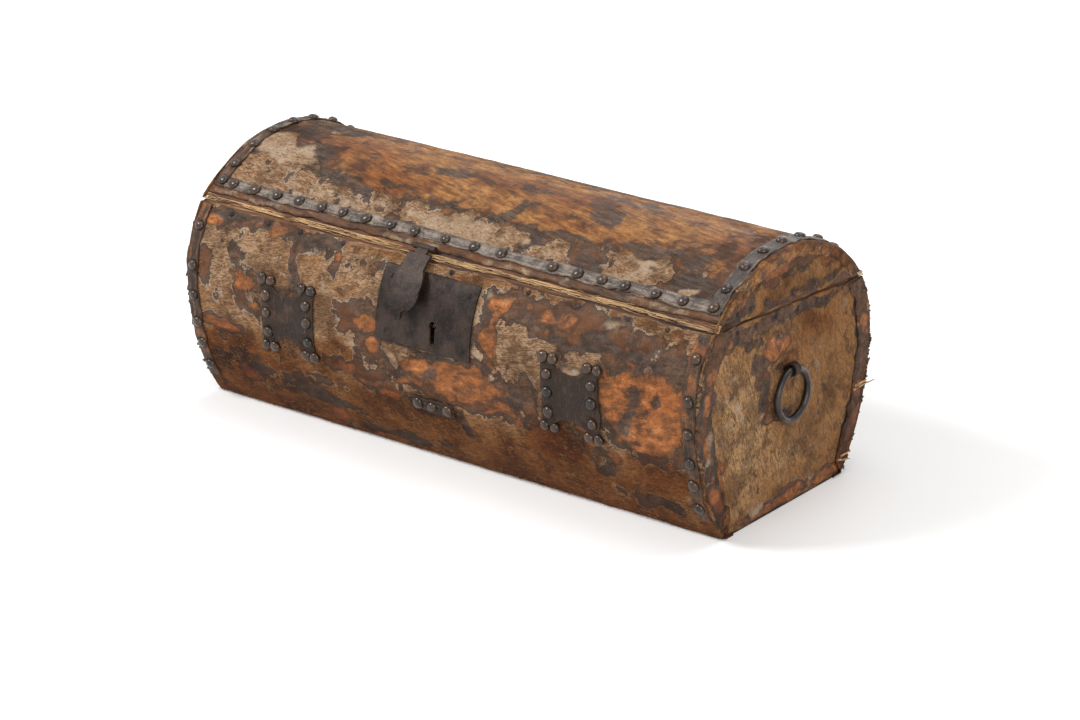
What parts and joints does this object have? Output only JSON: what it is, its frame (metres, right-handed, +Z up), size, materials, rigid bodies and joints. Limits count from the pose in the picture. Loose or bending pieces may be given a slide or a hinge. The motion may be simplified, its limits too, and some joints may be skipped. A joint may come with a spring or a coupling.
{
  "type": "hide-covered travel box",
  "caption": "Long barrel-topped wooden travel box covered in worn hair-on hide, with studded leather edging, hinged lid, hanging hasp, iron lock plate and a ring handle at each end.",
  "frame": {"origin": "middle of the flat underside, on the floor", "axes": "+X along the length towards the right end, +Y to the back, +Z up; the lock faces -Y"},
  "size_m": [0.6466, 0.3048, 0.2638],
  "materials": {
    "board": "rough sawn",
    "hide": "worn, hair-on",
    "end_hide": "worn, hair-on",
    "edging": "dry, dark",
    "patch_leather": "dry, dark",
    "stud": "hammered, aged",
    "nail": "aged",
    "iron": "forged, aged"
  },
  "bodies": {
    "body": {"bottom_board": "board", "front_stave_lower": "board", "front_stave_middle": "board", "front_stave_upper": "board", "back_stave_lower": "board", "back_stave_middle": "board", "back_stave_upper": "board", "left_end_board": "board", "right_end_board": "board", "body_front_hide": "hide", "body_back_hide": "hide", "body_bottom_hide": "hide", "left_end_hide": "end_hide", "right_end_hide": "end_hide", "body_front_left_strip": "edging", "body_front_right_strip": "edging", "body_back_left_strip": "edging", "body_back_right_strip": "edging", "left_patch": "patch_leather", "right_patch": "patch_leather", "middle_patch": "patch_leather", "body_corner_studs": "stud", "patch_studs": "stud", "body_tacks": "nail", "body_board_nails": "nail", "lock_plate": "iron", "lock_case": "iron", "bolt_guides": "iron", "lock_key_pin": "iron", "body_hinge_leaves": "iron", "hinge_pins": "iron", "ring_eyes": "iron"},
    "lid": {"lid_stave_1": "board", "lid_stave_2": "board", "lid_stave_3": "board", "lid_stave_4": "board", "lid_stave_5": "board", "lid_left_end_board": "board", "lid_right_end_board": "board", "lid_hide": "hide", "lid_left_end_hide": "end_hide", "lid_right_end_hide": "end_hide", "lid_front_strip": "edging", "lid_left_strip": "edging", "lid_right_strip": "edging", "lid_front_studs": "stud", "lid_end_studs": "stud", "lid_tacks": "nail", "lid_board_nails": "nail", "hasp_strap": "iron", "hasp_strap_nails": "nail", "hasp_pin": "iron", "lid_hinge_leaves": "iron"},
    "hasp": {"hasp": "iron", "hasp_loop": "iron"},
    "bolt": {"lock_bolt": "iron"},
    "left_ring": {"left_ring": "iron"},
    "right_ring": {"right_ring": "iron"}
  },
  "joints": [
    {"name": "lid_hinge", "type": "hinge", "parent": "body", "child": "lid", "pos_m": [0, 0.12817, 0.19647], "axis": [-1, 0, 0], "range_deg": [0, 110]},
    {"name": "hasp_hinge", "type": "hinge", "parent": "lid", "child": "hasp", "pos_m": [0, -0.1123, 0.2164], "axis": [-1, 0, 0], "range_deg": [-9, 130]},
    {"name": "bolt_slide", "type": "slide", "parent": "body", "child": "bolt", "axis": [-1, 0, 0], "range_m": [0, 0.009]},
    {"name": "left_ring_swing", "type": "hinge", "parent": "body", "child": "left_ring", "pos_m": [-0.3168, 0, 0.1404], "axis": [0, 1, 0], "range_deg": [-3, 150]},
    {"name": "right_ring_swing", "type": "hinge", "parent": "body", "child": "right_ring", "pos_m": [0.3168, 0, 0.1404], "axis": [0, -1, 0], "range_deg": [-3, 150]}
  ]
}
